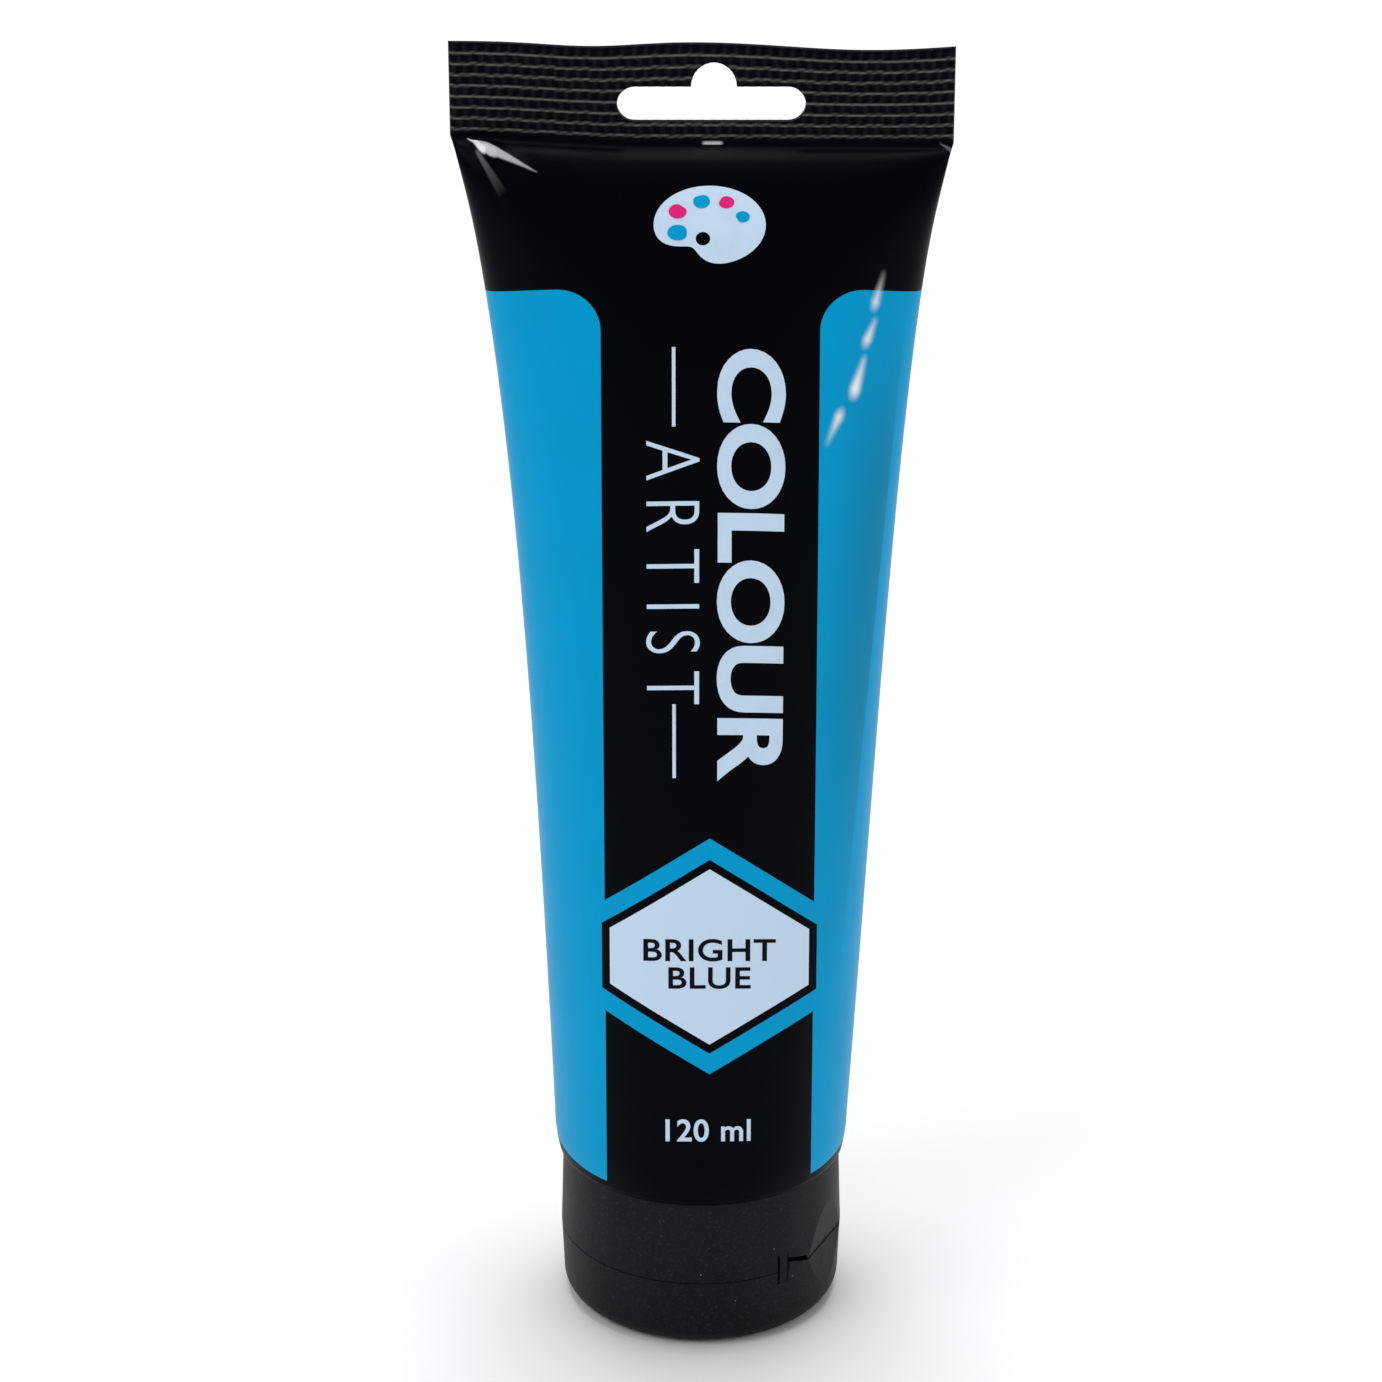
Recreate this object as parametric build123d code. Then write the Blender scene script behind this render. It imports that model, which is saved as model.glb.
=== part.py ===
from build123d import *
from math import pi, sqrt
import os

# A squeeze tube of artist's paint. It stands on its flip-top cap, with the flat crimp at the top.
# Millimetres. +Z is up, the crimp lies along X, and the decorated front faces -Y.
# Z = 0 is the outer face of the lid, and the Z axis is the axis of the tube.

# ---- sleeve: a thin plastic tube, pinched flat and welded at the top ----
TUBE_DIA = 38.0         # round end
SLEEVE_WALL = 0.5
SLEEVE_LENGTH = 133.4   # from the curled rim to the foot of the crimp
RIM_CURL = 4.4          # height over which the rim curls in over the shoulder
RIM_INSET = 0.5         # how far it curls in
CRIMP_HEIGHT = 12.0
CRIMP_THICK = 1.1
CRIMP_CORNER = 0.6
TAPER_STEADY = 0.56     # three shares of the widening towards the crimp, which add up to 1:
TAPER_SWELL = 0.33      # one steady, one over the upper half,
TAPER_PINCH = 0.11      # and one just under the crimp
CAVITY_END = 0.985      # share of the taper at which the two walls meet
TAPER_STEPS = 14        # sections along the taper

# ---- hang slot: the standard shop-hook shape through the crimp ----
SLOT_LENGTH = 22.3
SLOT_HEIGHT = 4.2
SLOT_RISE = 2.4         # foot of the crimp to the foot of the slot
SLOT_OFFSET = 1.1       # the slot is punched a little to the right
HUMP_WIDTH = 5.7
HUMP_HEIGHT = 2.7

# ---- shoulder and threaded neck, moulded into the sleeve ----
SHOULDER_WALL = 1.4
SHOULDER_DROP = 1.6     # from the rim down to the root of the neck
WELD_GAP = 0.05         # between the shoulder and the sleeve
NECK_DIA = 15.2
NECK_BORE = 11.6
ORIFICE_DIA = 5.0
ORIFICE_PLATE = 1.2
THREAD_PITCH = 2.0
THREAD_HEIGHT = 0.75
THREAD_ROOT = 1.2       # width of a ridge where it stands on the neck
THREAD_CREST = 0.5
THREAD_CLEARANCE = 0.25
THREAD_START = 1.5      # mouth of the neck to the first ridge
FOIL_THICK = 0.12

# ---- cap: base, flip lid and the butterfly hinge between them ----
CAP_HEIGHT = 20.9
CAP_INSET_TOP = 1.05    # how far the cap stands inside the tube's side, at its top edge,
CAP_INSET_SEAM = 0.7    # at the parting line
CAP_INSET_FOOT = 1.1    # and at its foot
CAP_GAP = 0.2           # between the cap and the rim of the sleeve
CAP_WALL = 1.4
SEAM_HEIGHT = 9.6       # parting line between lid and base
SEAM_GAP = 0.12
LID_PLATE = 1.4
LID_ROUND = 2.8         # radius round the lid's outer edge
DECK_RISE = 0.5         # seam to the underside of the deck
DECK_THICK = 1.3
GUIDE_DEPTH = 1.0       # ring under the deck that centres the lid
GUIDE_WIDTH = 1.0
GUIDE_CLEARANCE = 0.2
SKIRT_WALL = 1.25       # threaded inner skirt
RIB_COUNT = 8
RIB_WIDTH = 1.0
RIB_HEIGHT = 3.6
SPOUT_BORE = 4.2
SPOUT_WALL = 1.2
SPOUT_LENGTH = 2.5
PLUG_CLEARANCE = 0.15
PLUG_FOOT_DIA = 6.4
PLUG_TAPER = 0.5
FOIL_CLEARANCE = 0.1

HINGE_AZIMUTH = 65.0    # degrees from the front towards +X
HINGE_WIDTH = 10.0      # straight film in the middle
HINGE_GAP = 0.6         # open height over the film
FILM_THICK = 0.35
FILM_INSET = 0.1
FLAT_HEIGHT = 6.0       # how far the flat beside the film runs up the base and down the lid
FLAT_SPREAD = 0.5       # how far the flat leans out over that height
STRAP_PLACE = 8.4       # middle plane of the hinge to the inner side of a strap
STRAP_WIDTH = 1.0
STRAP_THICK = 1.05
STRAP_RISE = 2.3        # above the seam
STRAP_DROP = 1.8        # below it
SLIT_WIDTH = 0.4        # outside each strap
LUG_HEIGHT = 0.95
LUG_RELIEF = 0.3        # keeps the lid's lugs off the deck as it opens
HINGE_PLAY = 0.1
POCKET_SKIN = 0.15      # wall of the base left behind the hinge

THUMB_DEPTH = 0.9       # finger scoop opposite the hinge
THUMB_RADIUS = 6.0

# ---- paint ----
FILL_GAP = 0.2
FILL_END = 0.95         # share of the taper that the paint reaches

# ---- worked out from the values above ----
TUBE_R = TUBE_DIA / 2
FLAT_HALF_WIDTH = pi * TUBE_R / 2
RIM_Z = CAP_HEIGHT + CAP_GAP
ROUND_Z = RIM_Z + RIM_CURL
CRIMP_Z = RIM_Z + SLEEVE_LENGTH
SLOT_Z = CRIMP_Z + SLOT_RISE + SLOT_HEIGHT / 2
DECK_Z = SEAM_HEIGHT + DECK_RISE
DECK_TOP_Z = DECK_Z + DECK_THICK
MOUTH_Z = DECK_TOP_Z + FOIL_CLEARANCE + FOIL_THICK
NECK_ROOT_Z = RIM_Z - SHOULDER_DROP
NECK_R = NECK_DIA / 2
THREAD_TURNS = int((NECK_ROOT_Z - MOUTH_Z - THREAD_START) / THREAD_PITCH)
SKIRT_R = NECK_R + THREAD_HEIGHT + THREAD_CLEARANCE
SKIRT_TOP_Z = NECK_ROOT_Z - 2 * THREAD_CLEARANCE
CAP_TOP_R = TUBE_R - CAP_INSET_TOP
CAP_FOOT_R = TUBE_R - CAP_INSET_FOOT
SEAM_R = TUBE_R - CAP_INSET_SEAM
LID_INNER_R = SEAM_R - CAP_WALL
GUIDE_R = LID_INNER_R - GUIDE_CLEARANCE
LID_RIM_Z = SEAM_HEIGHT - SEAM_GAP / 2
BASE_FOOT_Z = SEAM_HEIGHT + SEAM_GAP / 2
SPOUT_FOOT_Z = DECK_Z - SPOUT_LENGTH
HINGE_REACH = sqrt(SEAM_R**2 - (HINGE_WIDTH / 2) ** 2)
REACH = TUBE_DIA        # a length that runs past everything


def perimeter(a, b):
    """Length round an ellipse of half-axes a and b, by Ramanujan's formula."""
    h = ((a - b) / (a + b)) ** 2
    return pi * (a + b) * (1 + 3 * h / (10 + sqrt(4 - 3 * h)))


def half_width(t):
    """Half the sleeve's width at share t of the way from its round end to the crimp."""
    share = TAPER_STEADY * t + TAPER_SWELL * t**4 + TAPER_PINCH * t**16
    return TUBE_R + (FLAT_HALF_WIDTH - TUBE_R) * share


def half_depth(t):
    """Half its depth there: the wall can't stretch, so its length round stays the same."""
    low, high = 0.0, TUBE_R
    for _ in range(50):
        middle = (low + high) / 2
        if perimeter(half_width(t), middle) < pi * TUBE_DIA:
            low = middle
        else:
            high = middle
    return max(low, CRIMP_THICK / 2)


def tapered(inset, end):
    """The sleeve's tapering shape, inset all round, from the round end up to share end."""
    sections = []
    for step in range(TAPER_STEPS + 1):
        t = end * step / TAPER_STEPS
        height = ROUND_Z + t * (CRIMP_Z - ROUND_Z)
        ellipse = Ellipse(half_width(t) - inset, max(half_depth(t) - inset, FILL_GAP))
        sections.append(Pos(0, 0, height) * ellipse)
    return loft(sections)


def turned(points):
    """A solid of revolution about Z, from an outline of (radius, height) points."""
    return revolve(Plane.XZ * make_face(Polyline(*points, close=True)), Axis.Z)


def tube(outer_r, inner_r, low, high):
    """A plain ring about Z."""
    return turned([(inner_r, low), (outer_r, low), (outer_r, high), (inner_r, high)])


def prism_y(points):
    """An outline of (x, z) points, run through along Y on the hinge side only."""
    face = Plane.XZ * make_face(Polyline(*points, close=True))
    return extrude(face, amount=REACH)


def prism_x(points):
    """An outline of (y, z) points, run through along X."""
    face = Plane.YZ * make_face(Polyline(*points, close=True))
    return extrude(face, amount=REACH, both=True)


def block(x_low, x_high, z_low, z_high):
    """A block on the hinge side, for what is cut from or left in the cap's wall."""
    return prism_y([(x_low, z_low), (x_high, z_low), (x_high, z_high), (x_low, z_high)])


def both_sides(part):
    """A part of the hinge and its mirror image."""
    return part + mirror(part, Plane.YZ)


def ridge(radius, height, out):
    """One thread ridge, standing out of a neck (out = 1) or into a skirt (out = -1)."""
    tip = radius + out * THREAD_HEIGHT
    return turned([
        (radius - out * WELD_GAP, height - THREAD_ROOT / 2),
        (radius, height - THREAD_ROOT / 2),
        (tip, height - THREAD_CREST / 2),
        (tip, height + THREAD_CREST / 2),
        (radius, height + THREAD_ROOT / 2),
        (radius - out * WELD_GAP, height + THREAD_ROOT / 2),
    ])


def rim_shape(inset):
    """The round stretch under the taper, whose lower edge curls in over the shoulder."""
    rim_r = TUBE_R - RIM_INSET - inset
    side_r = TUBE_R - inset
    outline = [
        Line((0, RIM_Z), (rim_r, RIM_Z)),
        TangentArc((side_r, ROUND_Z), (rim_r, RIM_Z), tangent=(0, -1)),
        Line((side_r, ROUND_Z), (0, ROUND_Z)),
        Line((0, ROUND_Z), (0, RIM_Z)),
    ]
    return revolve(Plane.XZ * make_face(outline), Axis.Z)


def tube_sleeve():
    """The sleeve with its crimp and hang slot."""
    body = rim_shape(0) + tapered(0, 1.0)
    cavity = rim_shape(SLEEVE_WALL) + tapered(SLEEVE_WALL, CAVITY_END)
    crimp = RectangleRounded(2 * FLAT_HALF_WIDTH, CRIMP_HEIGHT, CRIMP_CORNER)
    crimp += Pos(0, -CRIMP_HEIGHT / 4) * Rectangle(2 * FLAT_HALF_WIDTH, CRIMP_HEIGHT / 2)
    crimp = Pos(0, CRIMP_Z + CRIMP_HEIGHT / 2) * crimp
    slot = SlotOverall(SLOT_LENGTH, SLOT_HEIGHT) + Pos(0, SLOT_HEIGHT / 2) * hump()
    slot = Pos(SLOT_OFFSET, SLOT_Z) * slot
    flat = extrude(Plane.XZ * (crimp - slot), amount=CRIMP_THICK / 2, both=True)
    return body - cavity + flat


def hump():
    """The round bump in the middle of the hang slot, a half ellipse with a short foot."""
    foot = Pos(0, -SLOT_HEIGHT / 4) * Rectangle(HUMP_WIDTH, SLOT_HEIGHT / 2)
    arch = Ellipse(HUMP_WIDTH / 2, HUMP_HEIGHT)
    return foot + arch


def tube_shoulder():
    """The moulded head: a lining for the sleeve, the shoulder and the threaded neck."""
    lining_r = TUBE_R - SLEEVE_WALL - WELD_GAP
    edge_r = lining_r - RIM_INSET
    head = turned([
        (ORIFICE_DIA / 2, MOUTH_Z),
        (NECK_R, MOUTH_Z),
        (NECK_R, NECK_ROOT_Z),
        (CAP_TOP_R - CAP_WALL - CAP_GAP, RIM_Z),
        (edge_r, RIM_Z),
        (lining_r, ROUND_Z),
        (lining_r - SHOULDER_WALL / 2, ROUND_Z),
        (edge_r - SHOULDER_WALL, RIM_Z + SHOULDER_WALL),
        (NECK_BORE / 2, NECK_ROOT_Z + SHOULDER_WALL),
        (NECK_BORE / 2, MOUTH_Z + ORIFICE_PLATE),
        (ORIFICE_DIA / 2, MOUTH_Z + ORIFICE_PLATE),
    ])
    for turn in range(THREAD_TURNS):
        head += ridge(NECK_R, MOUTH_Z + THREAD_START + turn * THREAD_PITCH, 1)
    return head


def foil_seal():
    """The peel-off disc over the mouth of a new tube."""
    return tube(NECK_R, 0, MOUTH_Z - FOIL_THICK, MOUTH_Z)


def paint_fill():
    """The paint, which fills the sleeve, the shoulder and the neck."""
    wall = SHOULDER_WALL + FILL_GAP
    lining_r = TUBE_R - SLEEVE_WALL - WELD_GAP - SHOULDER_WALL / 2 - FILL_GAP
    edge_r = TUBE_R - SLEEVE_WALL - WELD_GAP - RIM_INSET - wall
    head = turned([
        (0, MOUTH_Z + ORIFICE_PLATE + FILL_GAP),
        (NECK_BORE / 2 - FILL_GAP, MOUTH_Z + ORIFICE_PLATE + FILL_GAP),
        (NECK_BORE / 2 - FILL_GAP, NECK_ROOT_Z + wall),
        (edge_r, RIM_Z + wall),
        (lining_r - RIM_INSET, ROUND_Z),
        (0, ROUND_Z),
    ])
    upper_low = ROUND_Z + FILL_GAP
    upper_high = ROUND_Z + FILL_END * (CRIMP_Z - ROUND_Z)
    upper = tapered(SLEEVE_WALL + FILL_GAP, CAVITY_END) & tube(REACH, 0, upper_low, upper_high)
    return head + tube(edge_r, 0, RIM_Z + wall, upper_low + FILL_GAP) + upper


def cap_base():
    """The screw-on half of the cap, with its deck, spout, threaded skirt and ribs."""
    base = turned([
        (LID_INNER_R, BASE_FOOT_Z),
        (SEAM_R, BASE_FOOT_Z),
        (CAP_TOP_R, CAP_HEIGHT),
        (CAP_TOP_R - CAP_WALL, CAP_HEIGHT),
        (LID_INNER_R, DECK_TOP_Z),
    ])
    base += tube(LID_INNER_R, SPOUT_BORE / 2, DECK_Z, DECK_TOP_Z)
    base += tube(GUIDE_R, GUIDE_R - GUIDE_WIDTH, SEAM_HEIGHT - GUIDE_DEPTH, DECK_Z)
    base += tube(SPOUT_BORE / 2 + SPOUT_WALL, SPOUT_BORE / 2, SPOUT_FOOT_Z, DECK_Z)
    base += tube(SKIRT_R + SKIRT_WALL, SKIRT_R, DECK_TOP_Z, SKIRT_TOP_Z)
    for turn in range(THREAD_TURNS):
        base += ridge(SKIRT_R, MOUTH_Z + THREAD_START + (turn + 0.5) * THREAD_PITCH, -1)
    rib_length = CAP_TOP_R - CAP_WALL / 2 - SKIRT_R - SKIRT_WALL / 2
    rib = Pos(SKIRT_R + SKIRT_WALL / 2, 0, DECK_TOP_Z) * Box(
        rib_length, RIB_WIDTH, RIB_HEIGHT, align=(Align.MIN, Align.CENTER, Align.MIN)
    )
    for number in range(RIB_COUNT):
        base += Rot(0, 0, 360 / RIB_COUNT * number) * rib
    scoop = Rot(0, 90, 0) * Cylinder(THUMB_RADIUS, REACH)
    base -= Pos(0, SEAM_R + THUMB_RADIUS - THUMB_DEPTH, BASE_FOOT_Z) * scoop
    base -= hinge_opening() + hinge_flat(1)
    base -= film_slab(HINGE_REACH, FILM_THICK + FILM_INSET + HINGE_PLAY)
    return base - wall_band(strap_pockets(0, STRAP_RISE), POCKET_SKIN)


def wall_band(part, skin):
    """The stretch of a part that lies in the cap's outer wall, outside a skin of that thickness."""
    return part & tube(REACH, LID_INNER_R + skin, 0, CAP_HEIGHT)


def hinge_opening():
    """The open gap over the film, which rises towards the straps."""
    half = HINGE_WIDTH / 2
    rise = HINGE_GAP + LUG_HEIGHT + HINGE_PLAY
    outline = [
        (-STRAP_PLACE, 0),
        (-STRAP_PLACE, rise),
        (-half, HINGE_GAP),
        (half, HINGE_GAP),
        (STRAP_PLACE, rise),
        (STRAP_PLACE, 0),
    ]
    return wall_band(prism_y([(x, SEAM_HEIGHT + z) for x, z in outline]), POCKET_SKIN)


def hinge_flat(side):
    """What the flat takes off the base (side = 1) or the lid (side = -1) beside the film."""
    outline = [
        (-HINGE_REACH, 0),
        (-HINGE_REACH - FLAT_SPREAD, side * FLAT_HEIGHT),
        (-REACH, side * FLAT_HEIGHT),
        (-REACH, 0),
    ]
    slope = prism_x([(y, SEAM_HEIGHT + z) for y, z in outline])
    return slope & block(-HINGE_WIDTH, HINGE_WIDTH, 0, CAP_HEIGHT)


def strap_pockets(low, high):
    """Room for both straps and the slits outside them, between two heights from the seam."""
    outer = STRAP_PLACE + STRAP_WIDTH + SLIT_WIDTH
    return both_sides(block(STRAP_PLACE - HINGE_PLAY, outer, SEAM_HEIGHT + low, SEAM_HEIGHT + high))


def flip_lid():
    """The lid: a shallow cup with a sealing plug, and a lug beside each strap."""
    lid = turned([
        (0, 0),
        (CAP_FOOT_R, 0),
        (SEAM_R, LID_RIM_Z),
        (LID_INNER_R, LID_RIM_Z),
        (LID_INNER_R, LID_PLATE),
        (0, LID_PLATE),
    ])
    foot_edge = lid.edges().filter_by(GeomType.CIRCLE).sort_by(Axis.Z)[0]
    lid = fillet(foot_edge, LID_ROUND)
    plug_r = SPOUT_BORE / 2 - PLUG_CLEARANCE
    lid += turned([
        (0, LID_PLATE - WELD_GAP),
        (PLUG_FOOT_DIA / 2, LID_PLATE - WELD_GAP),
        (PLUG_FOOT_DIA / 2, SPOUT_FOOT_Z - 2 * LID_PLATE),
        (plug_r, SPOUT_FOOT_Z - LID_PLATE),
        (plug_r, DECK_Z - PLUG_TAPER),
        (plug_r - PLUG_TAPER, DECK_Z),
        (0, DECK_Z),
    ])
    half = HINGE_WIDTH / 2
    lug_end = STRAP_PLACE - 2 * HINGE_PLAY
    lug_foot_z = LID_RIM_Z - WELD_GAP
    lug = prism_y([(half, lug_foot_z), (lug_end, lug_foot_z), (lug_end, SEAM_HEIGHT + LUG_HEIGHT)])
    lug &= tube(SEAM_R, LID_INNER_R + LUG_RELIEF, 0, CAP_HEIGHT)
    lid += both_sides(lug)
    return lid - hinge_flat(-1) - wall_band(strap_pockets(-STRAP_DROP, LUG_HEIGHT), -CAP_WALL)


def film_slab(outer, thickness):
    """A slab as wide and high as the film, from that distance off the tube's axis inwards."""
    height = HINGE_GAP + SEAM_GAP / 2
    slab = Box(HINGE_WIDTH, thickness, height, align=(Align.CENTER, Align.MIN, Align.MIN))
    return Pos(0, -outer, LID_RIM_Z) * slab


def hinge_film():
    """The thin straight film that the lid turns about."""
    return film_slab(HINGE_REACH - FILM_INSET, FILM_THICK)


def hinge_strap(side):
    """One of the two spring straps that pull the lid open or shut."""
    low = SEAM_HEIGHT - STRAP_DROP
    high = SEAM_HEIGHT + STRAP_RISE
    strap = block(STRAP_PLACE, STRAP_PLACE + STRAP_WIDTH, low, high)
    strap &= tube(SEAM_R - HINGE_PLAY, SEAM_R - HINGE_PLAY - STRAP_THICK, 0, CAP_HEIGHT)
    return strap if side > 0 else mirror(strap, Plane.YZ)


def on_hinge_side(part):
    """Turn a part of the cap from the front to where the hinge is."""
    return Rot(0, 0, HINGE_AZIMUTH) * part


NODES = {
    "tube_sleeve": tube_sleeve(),
    "tube_shoulder": tube_shoulder(),
    "foil_seal": foil_seal(),
    "paint_fill": paint_fill(),
    "cap_base": on_hinge_side(cap_base()),
    "flip_lid": on_hinge_side(flip_lid()),
    "hinge_film": on_hinge_side(hinge_film()),
    "hinge_strap_front": on_hinge_side(hinge_strap(-1)),
    "hinge_strap_rear": on_hinge_side(hinge_strap(1)),
}

os.makedirs("parts", exist_ok=True)
for name, shape in NODES.items():
    export_step(shape, f"parts/{name}.step")
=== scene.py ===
import math

import bmesh
import bpy
import numpy as np
from bpy.props import FloatProperty, FloatVectorProperty, IntProperty, PointerProperty
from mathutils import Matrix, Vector
from mathutils.bvhtree import BVHTree
from mathutils.geometry import barycentric_transform


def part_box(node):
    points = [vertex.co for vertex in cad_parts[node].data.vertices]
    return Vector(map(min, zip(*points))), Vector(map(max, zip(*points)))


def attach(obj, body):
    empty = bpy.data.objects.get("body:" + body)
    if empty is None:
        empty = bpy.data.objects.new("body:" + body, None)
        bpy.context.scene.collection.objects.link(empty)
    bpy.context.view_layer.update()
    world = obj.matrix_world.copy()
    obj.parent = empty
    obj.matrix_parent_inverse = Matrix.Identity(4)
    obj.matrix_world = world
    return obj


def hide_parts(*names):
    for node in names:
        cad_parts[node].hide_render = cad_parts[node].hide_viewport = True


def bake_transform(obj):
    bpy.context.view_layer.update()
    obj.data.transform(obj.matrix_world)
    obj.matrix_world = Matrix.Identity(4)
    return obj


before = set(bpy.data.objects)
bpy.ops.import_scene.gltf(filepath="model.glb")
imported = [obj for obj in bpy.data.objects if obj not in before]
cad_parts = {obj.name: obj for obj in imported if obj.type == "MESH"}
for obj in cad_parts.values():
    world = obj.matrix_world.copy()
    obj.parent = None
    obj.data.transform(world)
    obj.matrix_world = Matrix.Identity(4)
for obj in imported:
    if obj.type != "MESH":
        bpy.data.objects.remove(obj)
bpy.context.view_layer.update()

bl_info = {
    "name": "Paint Tube",
    "version": (1, 0, 0),
    "blender": (4, 5, 0),
    "location": "View3D > Sidebar > Paint Tube",
    "description": "A squeeze tube of artist's paint that stands on its flip-top cap",
    "category": "Object",
}

MM = 0.001
TURN = 2 * math.pi
SLEEVE_LOW, SLEEVE_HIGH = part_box("tube_sleeve")

# the sleeve: numbers that have no meaning of their own outside the rule that uses them
ROW_CROWDING = 0.6  # how strongly the wall's rows crowd towards its two ends
DEPTH_POWER = 0.595  # how the wall's depth follows its taper
BACK_EASE = 0.3  # share of the depth over which the falling back of the wall eases in
RIDGE_START = 0.32  # share of a ridge's pitch that is left below the first ridge
RIDGE_WAVER = 0.03  # share of a ridge's pitch by which it wavers
CREST_POWER = 6  # above 1, how narrow a ridge's crest is
TOOTH_POWER = 3  # above 1, how narrow a tooth is
ROUNDED_TOP = 0.025  # share of the crimp's height over which its cut edge is rounded
# how much lighter a ridge's crest and a tooth are: worn film and a painted highlight
CREST_WEAR_AND_HIGHLIGHT = 0.75
TOOTH_WEAR_AND_HIGHLIGHT = 0.04

# the print: how the level top edge of the panels follows the wall's depth
DIP_START = 10.5 * MM
DIP_EASE = 6 * MM
DIP_SLOPE = 0.52

# the painted shade of a panel along the fold beside it
FOLD_AT_TOP = 24.7 * MM
FOLD_SLOPE = -0.082
FOLD_REACH = 9 * MM

# rows of points up each strap of the hinge, so that it can bend
STRIP_ROWS = 16

# the lights: name, place, what it faces, width, all in metres, and the size that sets its power
MIDDLE = (0, 0, SLEEVE_HIGH.z / 2)
LIGHTS = [
    ("overhead_light", (0, 0.7, 3.0), (0, 0.5, 0), 1.7, "overhead"),
    ("key_light", (-0.55, -0.45, 0.75), MIDDLE, 0.5, "key"),
    ("fill_light", (0.6, -0.35, 0.45), MIDDLE, 0.4, "fill"),
]
FLOOR_HALF_WIDTH = 6.0
FILM_WIDTH = 36  # of the camera, in millimetres


def linear(*parts):
    """A colour given as 0 to 255 on a screen, as the amounts of light that shaders use."""
    shares = [part / 255 for part in parts]
    return tuple(((s + 0.055) / 1.055) ** 2.4 if s > 0.04 else s / 12.92 for s in shares)


def size(name, text, value):
    """A length that a user can change, in metres."""
    return FloatProperty(name=name, description=text, default=value, unit="LENGTH", precision=5)


def share(name, text, value):
    """A plain factor that a user can change."""
    return FloatProperty(name=name, description=text, default=value)


def colour(name, text, value):
    """A colour that a user can change."""
    return FloatVectorProperty(
        name=name, description=text, default=value, subtype="COLOR", size=3, min=0, max=1
    )


class SleeveShape(bpy.types.PropertyGroup):
    """Sizes of the squeezable sleeve and its crimp."""

    round_radius: size("Round radius", "Radius of the round end", SLEEVE_HIGH.y)
    half_width: size("Half width", "Half the width of the crimp", SLEEVE_HIGH.x)
    rim_height: size("Rim height", "Height of the lower edge", SLEEVE_LOW.z)
    top_height: size("Top height", "Height of the highest corner", SLEEVE_HIGH.z)
    curl_height: size("Curl height", "How far up the rim's curl reaches", 4.4 * MM)
    curl_inset: size("Curl inset", "How far the rim curls in", 0.5 * MM)
    wall: size("Wall", "Thickness of the wall", 0.5 * MM)
    lining_end: size("Lining end", "Crimp to the point where the walls meet", 3 * MM)
    crimp_height: size("Crimp height", "Height of the welded band", 12 * MM)
    crimp_depth: size("Crimp half depth", "Half the thickness of the crimp", 0.42 * MM)
    lean: size("Lean", "How far the middle of the filled tube leans aside", 0.42 * MM)
    ridge_pitch: size("Ridge pitch", "Height from one pressed ridge to the next", 1.38 * MM)
    ridge_height: size("Ridge height", "How far a ridge stands out", 0.17 * MM)
    tooth_pitch: size("Tooth pitch", "Width of one pressed tooth", 1.33 * MM)
    tooth_height: size("Tooth height", "How far a tooth stands out", 0.08 * MM)
    steady: share("Steady taper", "Share of the widening that is steady", 0.56)
    swell: share("Upper taper", "Share of it over the upper half", 0.33)
    pinch: share("Last taper", "Share of it just under the crimp", 0.11)
    print_bow: share("Print bow", "Drop of the print for each unit the wall falls back", 0.33)
    columns: IntProperty(name="Columns", description="Points round the sleeve", default=449)
    wall_rows: IntProperty(name="Wall rows", description="Points up the wall", default=110)
    crimp_rows: IntProperty(name="Crimp rows", description="Points up the crimp", default=60)
    lining_rows: IntProperty(name="Lining rows", description="Points up the lining", default=40)


class SlotShape(bpy.types.PropertyGroup):
    """Sizes of the hang slot."""

    across: size("Place", "Middle of the slot across the crimp", 1.1 * MM)
    foot: size("Foot", "Foot of the crimp to the foot of the slot", 2.4 * MM)
    length: size("Length", "Length of the slot", 22.3 * MM)
    height: size("Height", "Height of the slot", 4.2 * MM)
    bump_across: size("Bump place", "Middle of the bump from the slot's middle", 0.3 * MM)
    bump_width: size("Bump width", "Width of the middle bump", 5.4 * MM)
    bump_height: size("Bump height", "Height of the middle bump", 2.9 * MM)


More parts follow.
